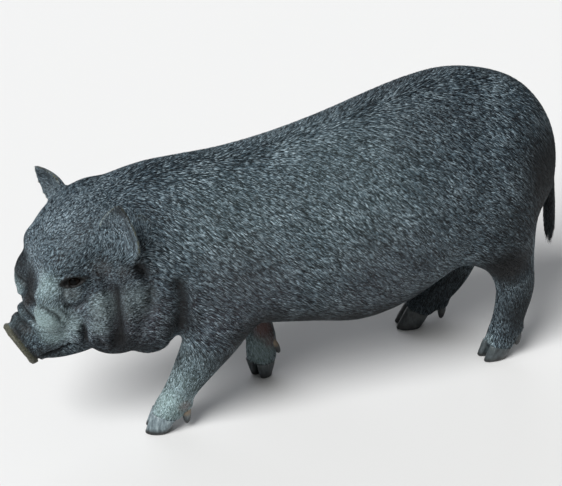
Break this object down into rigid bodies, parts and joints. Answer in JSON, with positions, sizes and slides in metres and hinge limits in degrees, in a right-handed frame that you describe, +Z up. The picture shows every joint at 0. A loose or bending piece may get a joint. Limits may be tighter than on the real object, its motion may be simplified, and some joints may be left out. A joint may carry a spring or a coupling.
{
  "type": "life-size model of a small black pig",
  "caption": "Still, life-size model of a small black lop-eared pig walking with its head low, standing on its own four feet.",
  "frame": {"origin": "on the floor, under the centre of the whole model's box", "axes": "-Y is the way the pig faces, +X is the pig's left, +Z is up"},
  "size_m": [0.2664, 0.8708, 0.4528],
  "materials": {
    "skin": "matte, with short flat black bristles",
    "eye": "wet gloss",
    "horn": "satin horn"
  },
  "bodies": {
    "root": {"head": "skin", "neck": "skin", "ear_left": "skin", "ear_right": "skin", "eye_left": "eye", "eye_right": "eye", "torso": "skin", "tail": "skin", "leg_front_left": "skin", "dewclaw_front_left_a": "horn", "dewclaw_front_left_b": "horn", "claw_front_left_a": "horn", "claw_front_left_b": "horn", "leg_front_right": "skin", "dewclaw_front_right_a": "horn", "dewclaw_front_right_b": "horn", "claw_front_right_a": "horn", "claw_front_right_b": "horn", "leg_hind_left": "skin", "dewclaw_hind_left_a": "horn", "dewclaw_hind_left_b": "horn", "claw_hind_left_a": "horn", "claw_hind_left_b": "horn", "leg_hind_right": "skin", "dewclaw_hind_right_a": "horn", "dewclaw_hind_right_b": "horn", "claw_hind_right_a": "horn", "claw_hind_right_b": "horn"}
  },
  "joints": []
}
